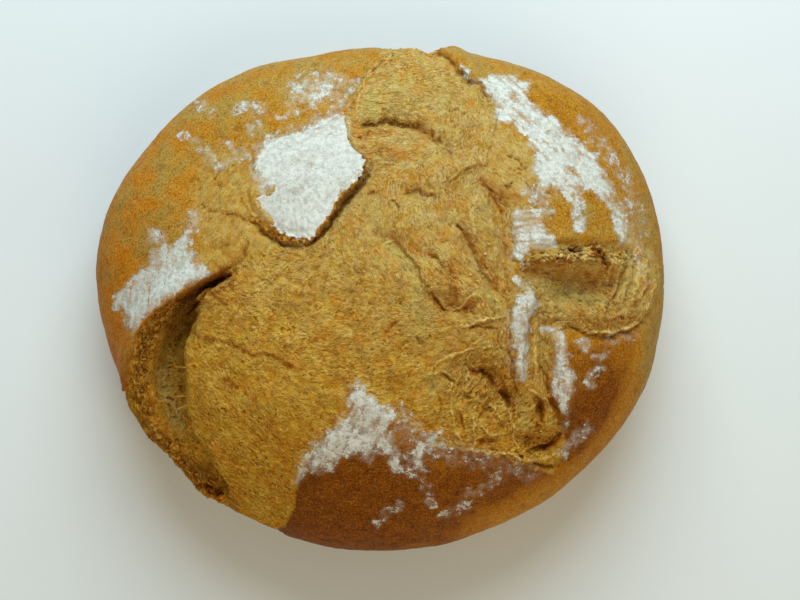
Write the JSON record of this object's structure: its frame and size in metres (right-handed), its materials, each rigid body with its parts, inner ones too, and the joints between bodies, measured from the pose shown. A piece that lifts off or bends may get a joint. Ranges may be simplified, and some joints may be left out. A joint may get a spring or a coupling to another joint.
{
  "type": "rustic bread loaf",
  "caption": "Round rustic hearth loaf, crusty and torn open on top, with a curled lip over a crevice, a raised flap of crust and patches of flour.",
  "frame": {"origin": "middle of the flat base, under the middle of the bounding box", "axes": "+Z up out of the base; +X along the loaf's length, to the right as seen in the picture; +Y up in the picture"},
  "size_m": [0.24, 0.213, 0.095],
  "materials": {
    "crust": "dry baked crust: matt to softly satin amber skin, torn golden crumb, cool white flour"
  },
  "bodies": {
    "root": {"loaf": "crust"}
  },
  "joints": []
}
